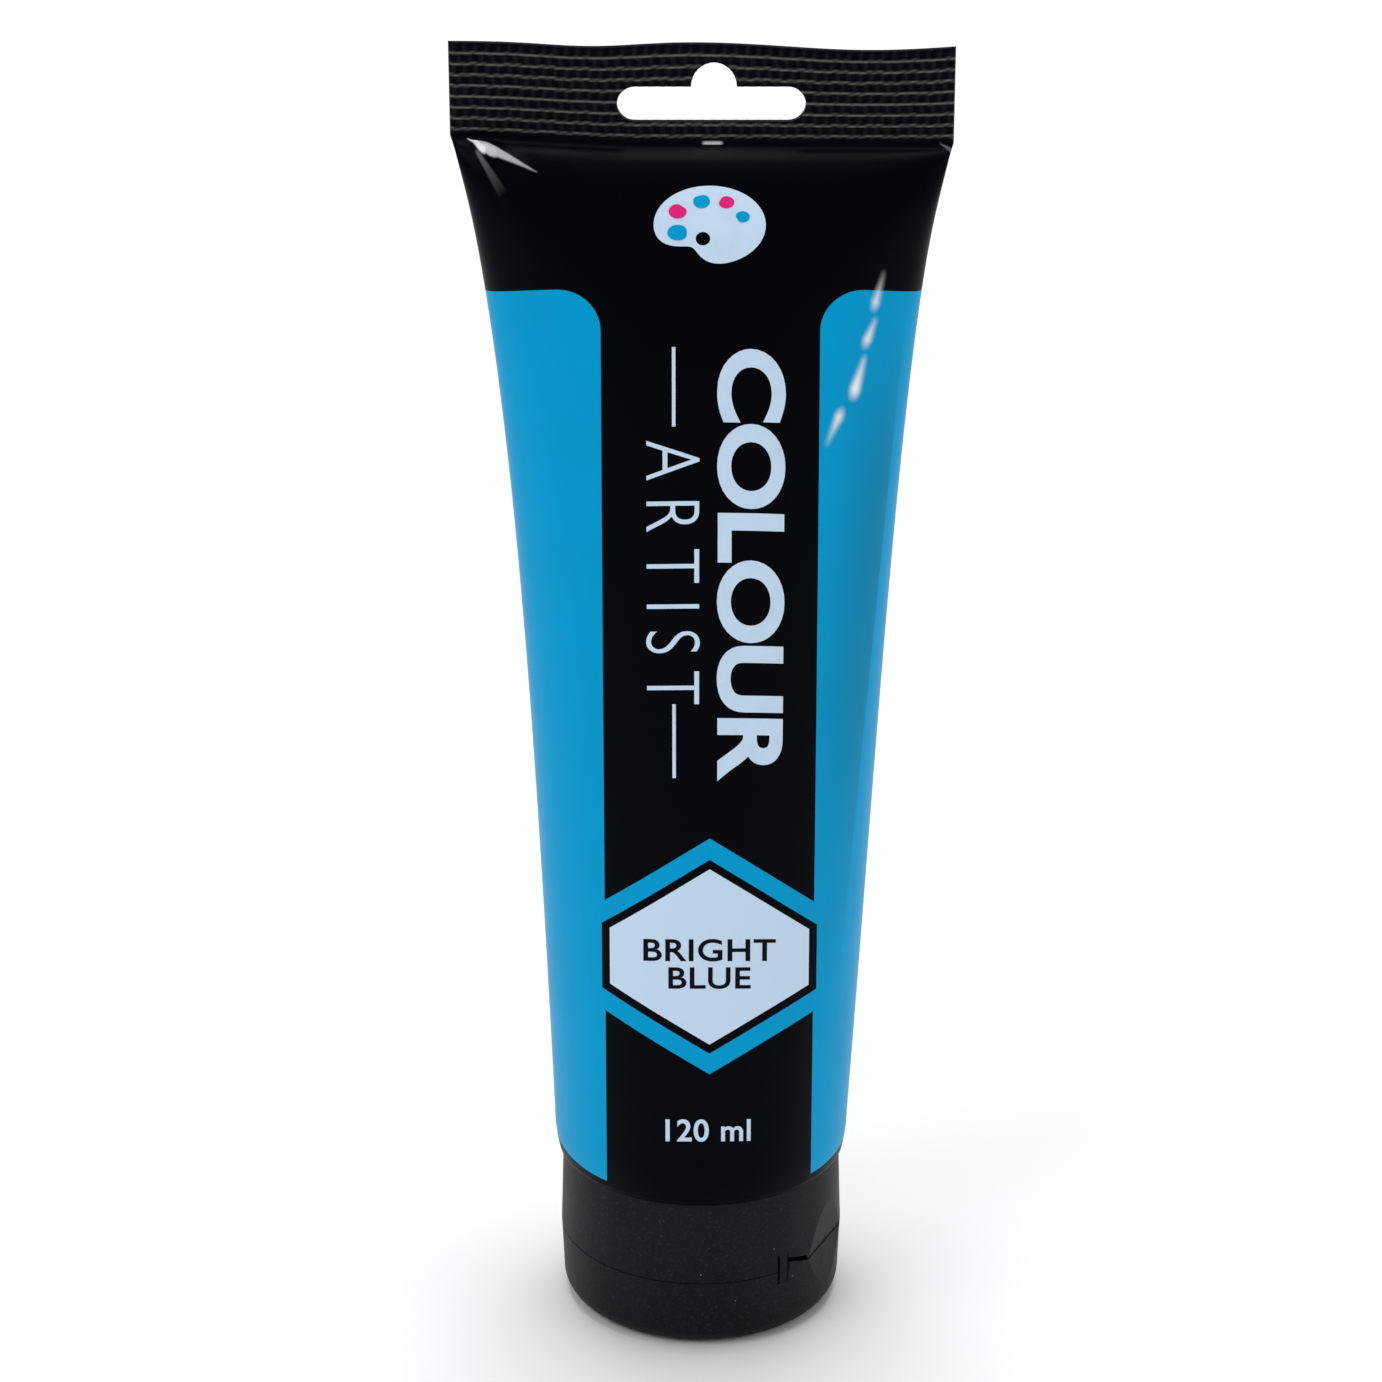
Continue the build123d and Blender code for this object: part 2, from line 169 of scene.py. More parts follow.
class Artwork(bpy.types.PropertyGroup):
    """Places and colours of the print, with the painted shade and highlights on it. Heights run
    down the wall from the crimp's foot.
    """

    centre: size("Centre", "Middle of the dark band", 1.0 * MM)
    band: size("Band", "Half the width of the dark band", 13.0 * MM)
    panel_top: size("Panel top", "Crimp to the top of the coloured panels", 15.7 * MM)
    panel_corner: size("Panel corner", "Radius of a panel's upper corner", 5.3 * MM)
    badge: size("Badge place", "Crimp to the middle of the badge", 102.4 * MM)
    badge_width: size("Badge half width", "Half the width of the pale badge", 12.4 * MM)
    badge_height: size("Badge half height", "Half the height of the pale badge", 11.75 * MM)
    badge_edge: size("Badge edge", "Dark edge round the badge", 1.0 * MM)
    badge_halo: size("Badge halo", "Badge to the outside of the coloured chevrons", 4.05 * MM)
    badge_slope: share("Badge slope", "Slope of the badge's upper and lower sides", 0.643)
    panel_foot: size("Panel foot", "Rim to the foot of a panel beside the band", 1.3 * MM)
    foot_curve: share("Foot curve", "Rise of a panel's foot, for each metre squared aside", 14.0)
    emblem: size("Emblem place", "Crimp to the middle of the emblem", 10.8 * MM)
    emblem_width: size("Emblem half width", "Half the width of the emblem", 6.6 * MM)
    emblem_height: size("Emblem half height", "Half the height of the emblem", 4.6 * MM)
    film: size("Ink thickness", "Thickness of the raised ink", 0.06 * MM)
    blue: colour("Blue", "Colour of the panels", linear(0, 160, 215))
    # painted shade colour of the right panel along the fold; also the darker tone of the ink's
    # clouding and of the wet paint
    shade: colour("Shaded blue", "Colour of the panel along the fold", linear(16, 135, 178))
    black: colour("Black", "Colour of the band and the crimp", linear(0, 1, 6))
    pale: colour("Pale", "Colour of the lettering and the badge", linear(204, 226, 248))
    pink: colour("Pink", "One of the emblem's dabs of paint", linear(232, 40, 130))
    # painted highlight colour of the folds and glints, and the film's own whitening on the creases
    crease_and_highlight: colour("Crease", "The film where it is folded sharply", linear(250, 252, 254))
    # pale grey of the crimp's ridge crests: worn film and a painted highlight where the crests
    # catch light
    pressed: colour("Pressed film", "Worn and highlighted crests of the crimp's ridges", linear(120, 122, 116))
    dark: colour("Dark ink", "Colour of the words on the badge", linear(10, 14, 22))


class CapFinish(bpy.types.PropertyGroup):
    """Finish of the moulded cap."""

    plastic: colour("Plastic", "Colour of the cap", linear(13, 15, 21))
    worn: colour("Worn plastic", "Colour of rubbed and dusty spots", linear(150, 152, 155))
    speck: size("Speck spacing", "Distance between dust specks", 2.2 * MM)
    grain: size("Grain", "Size of the moulded grain", 0.35 * MM)


class Studio(bpy.types.PropertyGroup):
    """Floor, light and camera."""

    distance: size("Distance", "Camera to the tube, along the floor", 480 * MM)
    height: size("Height", "Camera above the floor", 281.4 * MM)
    aside: size("Aside", "Camera to the left of the tube's middle", 1.3 * MM)
    lens: FloatProperty(name="Lens", description="Focal length in millimetres", default=108.2)
    pitch: FloatProperty(
        name="Pitch", description="How far the camera looks down", default=math.radians(22.36),
        subtype="ANGLE",
    )
    sky: share("Sky", "Strength of the even light", 0.41)
    overhead: share("Overhead light", "Power of the light over the tube, in watts", 63.0)
    key: share("Key light", "Power of the main light, in watts", 2.1)
    fill: share("Fill light", "Power of the side light, in watts", 0.6)
    floor: colour("Floor", "Colour of the floor", (0.93, 0.93, 0.935))


# ---- sums on sockets, for materials and shapes alike ----


class Wire:
    """A node's output that can be used in sums, with numbers or with other wires."""

    def __init__(self, build, socket):
        self.build = build
        self.socket = socket

    def math(self, operation, *values):
        return self.build.node("ShaderNodeMath", {"operation": operation}, dict(enumerate(values)))

    def __add__(self, other):
        return self.math("ADD", self, other)

    def __sub__(self, other):
        return self.math("SUBTRACT", self, other)

    def __rsub__(self, other):
        return self.math("SUBTRACT", other, self)

    def __mul__(self, other):
        return self.math("MULTIPLY", self, other)

    def __truediv__(self, other):
        return self.math("DIVIDE", self, other)

    def __rtruediv__(self, other):
        return self.math("DIVIDE", other, self)

    def __pow__(self, other):
        return self.math("POWER", self, other)

    def __lt__(self, other):
        return self.math("LESS_THAN", self, other)

    def __gt__(self, other):
        return self.math("GREATER_THAN", self, other)

    def __abs__(self):
        return self.math("ABSOLUTE", self)

    __radd__ = __add__
    __rmul__ = __mul__

    def most(self, other):
        return self.math("MAXIMUM", self, other)

    def least(self, other):
        return self.math("MINIMUM", self, other)

    def sine(self):
        return self.math("SINE", self)

    def cosine(self):
        return self.math("COSINE", self)

    def bell(self, width):
        """1 where the value is 0, fading smoothly to 0 over that width to each side."""
        return self.math("EXPONENT", (self / width) ** 2 * -1.0)

    def fade(self, low, high):
        """A smooth rise from 0 at low to 1 at high."""
        values = {0: self, 1: low, 2: high}
        return self.build.node("ShaderNodeMapRange", {"interpolation_type": "SMOOTHSTEP"}, values)

    def parts(self):
        """The three parts of a vector."""
        first = self.build.node("ShaderNodeSeparateXYZ", values={0: self})
        node = first.socket.node
        return [Wire(self.build, output) for output in node.outputs]


class Build:
    """Adds nodes to one tree. Settings are set first, then the values or links of sockets."""

    def __init__(self, tree):
        self.tree = tree

    def node(self, kind, settings=None, values=None, output=0):
        node = self.tree.nodes.new(kind)
        for name, value in (settings or {}).items():
            setattr(node, name, value)
        for key, value in (values or {}).items():
            if isinstance(value, Wire):
                self.tree.links.new(value.socket, node.inputs[key])
            else:
                node.inputs[key].default_value = value
        return Wire(self, node.outputs[output])

    def mix(self, factor, first, second):
        """A number between two others."""
        return self.node("ShaderNodeMix", {"data_type": "FLOAT"}, {0: factor, 2: first, 3: second})

    def tint(self, factor, first, second):
        """A colour between two others."""
        values = {0: factor, 6: opaque(first), 7: opaque(second)}
        return self.node("ShaderNodeMix", {"data_type": "RGBA"}, values, output=2)

    def vector(self, x, y, z):
        return self.node("ShaderNodeCombineXYZ", values={0: x, 1: y, 2: z})


def opaque(value):
    """A colour with its fourth number, or a wire as it is."""
    return value if isinstance(value, Wire) else (*value, 1.0)


def streak(x, down, start, end, widths, strengths, soft):
    """A tapering stroke from start to end, with its strength at each, and 0 outside it."""
    length = math.dist(start, end)
    along_x = (end[0] - start[0]) / length
    along_y = (end[1] - start[1]) / length
    run = (x - start[0]) * along_x + (down - start[1]) * along_y
    reach = abs((down - start[1]) * along_x - (x - start[0]) * along_y)
    place = (run / length).most(0.0).least(1.0)
    width = place * (widths[1] - widths[0]) + widths[0]
    beyond = (run - length).most(run * -1.0).most(0.0) * 0.5
    away = (reach**2 + beyond**2) ** 0.5 - width
    strength = place * (strengths[1] - strengths[0]) + strengths[0]
    return (1.0 - away.fade(-soft, soft)) * strength


# where the sleeve's film is folded sharply: start and end as places on the print, half widths
# at both, all in mm, then the whitening at both, partly the film's own and partly painted
# highlight, and the height of the fold in mm
CREASES = [
    ((-27.6, 0.4), (-26.0, 2.2), (0.06, 0.40), (1.0, 0.9), 0.22),
    ((-26.3, 1.6), (-25.0, 2.5), (0.1, 0.58), (0.9, 0.6), 0.25),
    ((-25.4, 2.1), (-19.6, 5.0), (0.68, 0.02), (0.55, 0.36), 0.30),
    ((-26.4, 2.8), (-23.4, 7.6), (0.2, 0.55), (0.11, 0.0), 0.20),
    ((28.4, 0.3), (29.2, 0.9), (0.05, 0.25), (0.22, 0.12), 0.10),
    ((0.4, 0.15), (2.1, 0.15), (0.12, 0.12), (0.75, 0.75), 0.05),
]
# the soft dents along the right panel, each with a painted highlight, in the same order
GLINTS = [
    ((21.4, 16.1), (20.6, 19.0), (0.02, 0.28), (0.35, 0.95), -0.06),
    ((20.4, 21.6), (19.7, 23.4), (0.10, 0.32), (0.7, 1.0), -0.06),
    ((19.2, 26.2), (18.3, 29.4), (0.10, 0.46), (0.8, 1.1), -0.08),
    ((16.3, 33.1), (15.1, 36.0), (0.34, 0.06), (1.0, 0.4), -0.06),
]
CREASE_SOFT = 0.16 * MM
GLINT_SOFT = 0.55 * MM


def folds():
    """Every fold with its lengths in metres, and its softness last."""
    for folds_of_kind, soft in ((CREASES, CREASE_SOFT), (GLINTS, GLINT_SOFT)):
        for start, end, widths, white, height in folds_of_kind:
            places = [tuple(n * MM for n in pair) for pair in (start, end, widths)]
            yield (*places, white, height * MM, soft)


# ---- materials ----


def material(name):
    """A new material with a Principled shader, and the builder of its tree."""
    made = bpy.data.materials.new(name)
    made.use_nodes = True
    return made, Build(made.node_tree), made.node_tree.nodes["Principled BSDF"]


def finish(build, shader, varying, fixed, bump=None):
    """Sets the shader: what varies is linked, what is the same all over is set on its socket."""
    for name, value in varying.items():
        build.tree.links.new(value.socket, shader.inputs[name])
    for name, value in fixed.items():
        shader.inputs[name].default_value = opaque(value) if isinstance(value, tuple) else value
    if bump:
        height, strength, distance = bump
        values = {"Strength": strength, "Distance": distance, "Height": height}
        normal = build.node("ShaderNodeBump", values=values)
        build.tree.links.new(normal.socket, shader.inputs["Normal"])


def place(build):
    """The place on the object, in metres."""
    return build.node("ShaderNodeTexCoord", output=3)


def noise(build, spacing, detail=2.0, rough=0.5):
    """Cloudy noise from 0 to 1, with lumps that far apart."""
    values = {"Vector": place(build), "Scale": 1 / spacing, "Detail": detail, "Roughness": rough}
    return build.node("ShaderNodeTexNoise", values=values)


def specks(build, spacing, radius):
    """1 on small round specks strewn over the surface, 0 elsewhere."""
    values = {"Vector": place(build), "Scale": 1 / spacing}
    away = build.node("ShaderNodeTexVoronoi", values=values)
    picked = noise(build, spacing * 3.1) > 0.56
    return (away < radius / spacing) * picked


def panels(art, shape, aside, depth, height):
    """1 on the coloured panels: level at the top, with a round corner, and curved at the foot."""
    corner_x = (art.panel_corner - (aside - art.band)).most(0.0)
    dip = (DIP_START - (depth**2 + DIP_EASE**2) ** 0.5) * DIP_SLOPE
    level = shape.top_height - shape.crimp_height - height - dip
    corner_y = (art.panel_corner - (level - art.panel_top)).most(0.0)
    inside = (corner_x**2 + corner_y**2) ** 0.5 < art.panel_corner
    foot = (aside - art.band).most(0.0) ** 2 * art.foot_curve
    return inside * (height > foot + (shape.rim_height + art.panel_foot))


def badge_parts(art, aside, down, facing):
    """1 on the chevrons beside the badge, on its dark edge and on its pale middle."""
    slanted = abs(down - art.badge) + art.badge_slope * aside
    halo = (slanted < art.badge_height + art.badge_halo) * (aside < art.band) * facing
    edge = (slanted < art.badge_height + 1.25 * art.badge_edge) * facing
    edge = edge * (aside < art.badge_width + art.badge_edge)
    badge = (slanted < art.badge_height) * (aside < art.badge_width) * facing
    return halo, edge, badge


def fold_shade(art, across, down, facing):
    """The painted shade on the right panel, darker towards the fold beside it, where it ends."""
    fold_line = FOLD_AT_TOP + FOLD_SLOPE * (down - art.panel_top)
    shade = (across - fold_line).fade(-FOLD_REACH, 0.0) * (across < fold_line) * facing
    return shade * down.fade(12 * MM, 45 * MM) * (1.0 - down.fade(60 * MM, 112 * MM))


def whitening_and_highlights(across, down, facing):
    """How white the film is along its folds: partly the film's own crease whitening and partly
    painted highlight, and on the glints only painted highlight.
    """
    crease_and_highlight = 0.0
    for start, end, widths, white, _, soft in folds():
        stroke = streak(across, down, start, end, widths, white, soft) * facing
        crease_and_highlight = stroke.most(crease_and_highlight)
    return crease_and_highlight.least(1.0)


def printed_film(art, shape):
    """The sleeve's printed film: panels, band, badge, creases and the pressed crimp, with painted
    shade along a fold and painted highlights on creases, glints and ridges.
    """
    made, build, shader = material("printed_film")
    across, depth, height = place(build).parts()
    kept = {"attribute_name": "print", "attribute_type": "GEOMETRY"}
    _, down, front = build.node("ShaderNodeAttribute", kept, output=1).parts()
    kept = {"attribute_name": "wear", "attribute_type": "GEOMETRY"}
    wear = build.node("ShaderNodeAttribute", kept, output=2)
    aside = abs(across - art.centre)
    facing = front > 0.0
    halo, edge, badge = badge_parts(art, aside, down, facing)
    cloud = noise(build, 9 * MM, 3.0)
    # painted shade along the fold on the right panel
    blue = build.tint(fold_shade(art, across, down, facing) * 0.9, art.blue, art.shade)
    blue = build.tint(cloud.fade(0.3, 0.8) * 0.12, blue, art.shade)
    coloured = panels(art, shape, aside, depth, height).most(halo)
    film = build.tint(coloured, art.black, blue)
    film = build.tint(edge, film, art.black)
    film = build.tint(badge, film, art.pale)
    # the crimp's crests lighter: worn film and painted highlight
    film = build.tint(wear, film, art.pressed)
    # lighter along the folds: partly crease whitening, partly painted highlight; the glints are
    # painted highlights
    film = build.tint(whitening_and_highlights(across, down, facing), film, art.crease_and_highlight)
    grain = noise(build, 0.5 * MM, 2.0)
    rough = 0.30 + 0.10 * cloud + 0.25 * wear + 0.04 * grain
    finish(
        build, shader, {"Base Color": film, "Roughness": rough},
        {"Specular IOR Level": 0.04}, (grain + 3.0 * noise(build, 4 * MM), 0.12, 0.05 * MM),
    )
    return made


def ink(name, tone):
    """Printing ink on the sleeve, a little uneven."""
    made, build, shader = material(name)
    cloud = noise(build, 2.5 * MM, 3.0)
    worn = tuple(0.86 * part for part in tone)
    values = {"Base Color": build.tint(cloud.fade(0.35, 0.85) * 0.4, tone, worn)}
    values["Roughness"] = 0.34 + 0.12 * cloud
    finish(build, shader, values, {"Specular IOR Level": 0.04}, (cloud, 0.1, 0.02 * MM))
    return made


def moulded_plastic(name, cap, tone):
    """Satin moulded plastic with a fine grain, dust specks and rubbed spots."""
    made, build, shader = material(name)
    grain = noise(build, cap.grain, 2.0, 0.6)
    cloud = noise(build, 6 * MM, 3.0)
    dust = specks(build, cap.speck, 0.09 * MM)
    rubbed = noise(build, 1.1 * MM, 4.0, 0.7).fade(0.62, 0.78)
    film = build.tint(cloud.fade(0.3, 0.8) * 0.35, tone, tuple(0.55 * part for part in tone))
    film = build.tint(rubbed * 0.10 + grain.fade(0.5, 0.75) * 0.03, film, cap.worn)
    film = build.tint(dust * 0.6, film, cap.worn)
    rough = 0.42 + 0.16 * cloud + 0.15 * rubbed
    height = grain + 1.5 * cloud - 2.0 * dust
    finish(
        build, shader, {"Base Color": film, "Roughness": rough},
        {"Specular IOR Level": 0.12}, (height, 0.45, 0.06 * MM),
    )
    return made


def shoulder_plastic():
    """Natural white plastic of the tube's head, faintly clouded."""
    made, build, shader = material("shoulder_plastic")
    cloud = noise(build, 5 * MM, 3.0)
    film = build.tint(cloud, (0.80, 0.82, 0.83), (0.66, 0.69, 0.71))
    finish(
        build, shader, {"Base Color": film, "Roughness": 0.33 + 0.15 * cloud},
        {"Subsurface Weight": 0.05}, (noise(build, 0.6 * MM), 0.2, 0.04 * MM),
    )
    return made


def foil():
    """Thin rolled aluminium, slightly crumpled, with rolling marks one way."""
    made, build, shader = material("foil")
    x, y, z = place(build).parts()
    stretched = build.vector(x * 25.0, y, z)
    marks = build.node(
        "ShaderNodeTexNoise", values={"Vector": stretched, "Scale": 400.0, "Detail": 2.0}
    )
    crumple = noise(build, 2.2 * MM, 3.0)
    film = build.tint(marks, (0.86, 0.87, 0.88), (0.68, 0.69, 0.71))
    finish(
        build, shader, {"Base Color": film, "Roughness": 0.24 + 0.18 * marks},
        {"Metallic": 1.0}, (crumple + 0.3 * marks, 0.5, 0.08 * MM),
    )
    return made


def wet_paint(art):
    """Thick glossy paint with soft folds."""
    made, build, shader = material("wet_paint")
    fold = noise(build, 7 * MM, 2.0)
    film = build.tint(fold * 0.4, art.blue, art.shade)
    finish(
        build, shader, {"Base Color": film, "Roughness": 0.16 + 0.14 * fold},
        {"Subsurface Weight": 0.03}, (fold, 0.5, 0.3 * MM),
    )
    return made


def studio_floor(studio):
    """Pale matt paper."""
    made, build, shader = material("studio_floor")
    fibre = noise(build, 3 * MM, 4.0)
    darker = tuple(0.995 * part for part in studio.floor)
    film = build.tint(fibre, tuple(studio.floor), darker)
    finish(build, shader, {"Base Color": film}, {"Roughness": 0.9, "Specular IOR Level": 0.1})
    return made


# ---- meshes ----


def new_piece(name, mesh):
    piece = bpy.data.objects.new(name, mesh)
    bpy.context.scene.collection.objects.link(piece)
    return piece


def evaluated(piece):
    """The piece's mesh with its modifiers applied."""
    graph = bpy.context.evaluated_depsgraph_get()
    return bpy.data.meshes.new_from_object(
        piece.evaluated_get(graph), preserve_all_data_layers=True, depsgraph=graph
    )


def settle(piece):
    """Turns what the modifiers make into the piece's own plain mesh."""
    mesh = evaluated(piece)
    piece.modifiers.clear()
    piece.data = mesh
    mesh.name = piece.name


def dress(piece, finish_made, body):
    """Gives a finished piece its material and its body."""
    piece.data.materials.clear()
    piece.data.materials.append(finish_made)
    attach(piece, body)


def smooth(mesh):
    mesh.polygons.foreach_set("use_smooth", [True] * len(mesh.polygons))


# ---- the sleeve, as a tree of geometry nodes ----


def top_wave(x):
    """How far the cut top edge dips, along the crimp."""
    return (x + 13 * MM).bell(8 * MM) * 0.62 * MM + (x - 20 * MM).bell(14 * MM) * 1.1 * MM


def foot_wave(x):
    """How far the crimp's foot rises or sags, along the crimp."""
    left = (x * -1.0).fade(4 * MM, 30 * MM)
    return left * 0.95 * MM - 0.3 * MM


def section_point(build, turn, half_width, half_depth, flatness):
    """Across and forwards places of the wall at one turn round it, round or flat."""
    swing = (turn * TURN).sine()
    even = turn.math("PINGPONG", turn + 0.25, 0.5) * 4.0 - 1.0
    across = build.mix(flatness, swing, even)
    power = flatness**8 * 6.0 + 2.0
    bulge = (1.0 - abs(across) ** power).most(0.0) ** (1.0 / power)
    side = (turn * TURN).cosine()
    facing = side.math("SIGN", side)
    return across * half_width, facing * bulge * half_depth * -1.0, side


def shaped_grid(build, columns, rows, rule):
    """A grid of points that a rule places from its two shares, with the print's places kept."""
    grid = build.node(
        "GeometryNodeMeshGrid", values={"Size X": 1.0, "Size Y": 1.0, 2: columns, 3: rows}
    )
    flat_x, flat_y, _ = build.node("GeometryNodeInputPosition").parts()
    position, print_place, wear = rule(flat_x + 0.5, flat_y + 0.5)
    stored = build.node(
        "GeometryNodeStoreNamedAttribute", {"data_type": "FLOAT_VECTOR"},
        {"Geometry": grid, "Name": "print", "Value": print_place},
    )
    stored = build.node(
        "GeometryNodeStoreNamedAttribute", {"data_type": "FLOAT"},
        {"Geometry": stored, "Name": "wear", "Value": wear},
    )
    return build.node("GeometryNodeSetPosition", values={"Geometry": stored, "Position": position})


def tree_inputs(tree, build, group):
    """Adds a named input for each size in a property group, as wires by their names."""
    wires, values = {}, {}
    kinds = {"FLOAT": "NodeSocketFloat", "INT": "NodeSocketInt"}
    names = [name for name in group.bl_rna.properties.keys() if name not in ("name", "rna_type")]
    for name in names:
        made = group.bl_rna.properties[name]
        socket = tree.interface.new_socket(
            name=made.name, in_out="INPUT", socket_type=kinds[made.type]
        )
        values[socket.identifier] = getattr(group, name)
    node = build.node("NodeGroupInput").socket.node
    for name, socket in zip(names, node.outputs):
        wires[name] = Wire(build, socket)
    return wires, values


def sleeve_tree(shape, film):
    """The sleeve's shape: wall, crimp and lining as three grids, joined along their edges."""
    tree = bpy.data.node_groups.new("sleeve_shape", "GeometryNodeTree")
    tree.interface.new_socket(name="Sleeve", in_out="OUTPUT", socket_type="NodeSocketGeometry")
    build = Build(tree)
    size_of, values = tree_inputs(tree, build, shape)
    crimp_z = size_of["top_height"] - size_of["crimp_height"]
    round_z = size_of["rim_height"] + size_of["curl_height"]

    def wall_at(turn, z, inset):
        """The wall at one height, drawn in by an inset, its side and how far back it lies."""
        t = ((z - round_z) / (crimp_z - round_z)).most(0.0).least(1.0)
        taper = size_of["steady"] * t + size_of["swell"] * t**4 + size_of["pinch"] * t**16
        curl = ((round_z - z) / size_of["curl_height"]).most(0.0) ** 2 * size_of["curl_inset"]
        width = build.mix(taper, size_of["round_radius"], size_of["half_width"])
        opening = (1.0 - taper).most(0.0) ** DEPTH_POWER
        depth = build.mix(opening, size_of["crimp_depth"], size_of["round_radius"])
        x, y, side = section_point(
            build, turn, width - curl - inset, (depth - curl - inset).most(0.0), taper
        )
        sag = foot_wave(x) * z.fade(crimp_z - 20 * MM, crimp_z)
        middle = t * (1.0 - t) * 4.0
        ease = depth * BACK_EASE
        back = (depth**2 + ease**2) ** 0.5 - (y**2 + ease**2) ** 0.5
        return x + middle * size_of["lean"], y, z + sag, side, back

    def wall(turn, up):
        down = 1.0 - up
        spread = down - (down * TURN).sine() * (ROW_CROWDING / TURN)
        z = crimp_z - spread * (crimp_z - size_of["rim_height"])
        x, y, z, side, back = wall_at(turn, z, 0.0)
        return build.vector(x, y, z), build.vector(x, back * size_of["print_bow"], side), 0.0

    def crimp(turn, up):
        top = 1.0 - (up - (1.0 - ROUNDED_TOP)).most(0.0) * (1.0 / ROUNDED_TOP)
        edge = (top * (2.0 - top)) ** 0.5
        x, y, side = section_point(build, turn, size_of["half_width"], 1.0, 1.0)
        along = x / size_of["tooth_pitch"] * TURN
        level = up * size_of["crimp_height"] / size_of["ridge_pitch"] + RIDGE_START
        level = level + along.sine() * RIDGE_WAVER + (along * 0.31).sine() * RIDGE_WAVER
        crest = ((level * TURN).cosine() * 0.5 + 0.5) ** CREST_POWER
        stagger = (level * 0.5).math("FRACT", level * 0.5) > 0.5
        tooth = ((along + stagger * math.pi).cosine() * 0.5 + 0.5) ** TOOTH_POWER * (1.0 - crest)
        fresh = up.fade(0.02, 0.08) * (1.0 - up.fade(0.955, 0.99))
        raised = (crest * size_of["ridge_height"] + tooth * size_of["tooth_height"]) * fresh
        raised = raised * (1.0 - (abs(x) / size_of["half_width"]).fade(0.97, 0.995))
        z = crimp_z + up * size_of["crimp_height"] - top_wave(x) * up + foot_wave(x) * (1.0 - up)
        y = y * (size_of["crimp_depth"] + raised) * edge
        # crests and teeth lighter: worn film with a painted highlight on them
        wear = crest**3 * fresh * CREST_WEAR_AND_HIGHLIGHT + tooth * fresh * TOOTH_WEAR_AND_HIGHLIGHT
        return build.vector(x, y, z), build.vector(x, crimp_z - z, side), wear

    def lining(turn, down):
        rows = size_of["lining_rows"] - 1.0
        reach = (down * rows / (rows - 1.0)).least(1.0)
        end_z = crimp_z - size_of["lining_end"]
        z = size_of["rim_height"] + (1.0 - reach) * (end_z - size_of["rim_height"])
        inset = size_of["wall"] * (down * rows < rows - 0.5)
        x, y, z, _, _ = wall_at(turn, z, inset)
        far_down = crimp_z - size_of["rim_height"]
        return build.vector(x, y * (down > 0.001), z), build.vector(x, far_down, -1.0), 0.0

    sheets = [
        shaped_grid(build, size_of["columns"], size_of["wall_rows"], wall),
        shaped_grid(build, size_of["columns"], size_of["crimp_rows"], crimp),
        shaped_grid(build, size_of["columns"], size_of["lining_rows"], lining),
    ]
    sheets[0] = measured_down(build, sheets[0], size_of["wall_rows"])
    sheets[0] = folded(build, sheets[0])
    joined = build.node("GeometryNodeJoinGeometry")
    for sheet in sheets:
        tree.links.new(sheet.socket, joined.socket.node.inputs[0])
    whole = build.node("GeometryNodeMergeByDistance", values={"Geometry": joined, 2: 0.004 * MM})
    whole = build.node("GeometryNodeRealizeInstances", values={0: whole})
    whole = build.node("GeometryNodeSetMaterial", values={0: whole, 2: film})
    output = tree.nodes.new("NodeGroupOutput")
    tree.links.new(whole.socket, output.inputs[0])
    return tree, values


def kept_print(build):
    """The print's places that were stored on the grid."""
    values = {"Name": "print"}
    return build.node("GeometryNodeInputNamedAttribute", {"data_type": "FLOAT_VECTOR"}, values)


def measured_down(build, sheet, rows):
    """Stores how far down the print each point is from the crimp, measured along the film."""
    index = build.node("GeometryNodeInputIndex")
    position = build.node("GeometryNodeInputPosition")
    column = (index / rows).math("FLOOR", (index + 0.5) / rows)
    below = build.node(
        "GeometryNodeFieldAtIndex", {"data_type": "FLOAT_VECTOR"},
        {"Value": position, "Index": (index - 1.0).most(0.0)},
    )
    step = build.node(
        "ShaderNodeVectorMath", {"operation": "DISTANCE"}, {0: position, 1: below}, output=1
    )
    first = (index - column * rows) < 0.5
    values = {"Value": step * (1.0 - first), "Group ID": column}
    so_far = build.node("GeometryNodeAccumulateField", values=values)
    whole = Wire(build, so_far.socket.node.outputs["Total"])
    x, drop, side = kept_print(build).parts()
    down = whole - so_far - drop
    values = {"Geometry": sheet, "Name": "print", "Value": build.vector(x, down, side)}
    return build.node("GeometryNodeStoreNamedAttribute", {"data_type": "FLOAT_VECTOR"}, values)


def folded(build, sheet):
    """Raises or dents the front of the wall along its creases."""
    x, down, side = kept_print(build).parts()
    height = 0.0
    for start, end, widths, _, rise, soft in folds():
        height = streak(x, down, start, end, widths, (rise, rise), 3 * soft) + height
    height = height * (side > 0.0) * down.fade(0.0, 0.8 * MM)
    normal = build.node("GeometryNodeInputNormal")
    offset = build.node("ShaderNodeVectorMath", {"operation": "SCALE"}, {0: normal, 3: height})
    return build.node("GeometryNodeSetPosition", values={"Geometry": sheet, "Offset": offset})


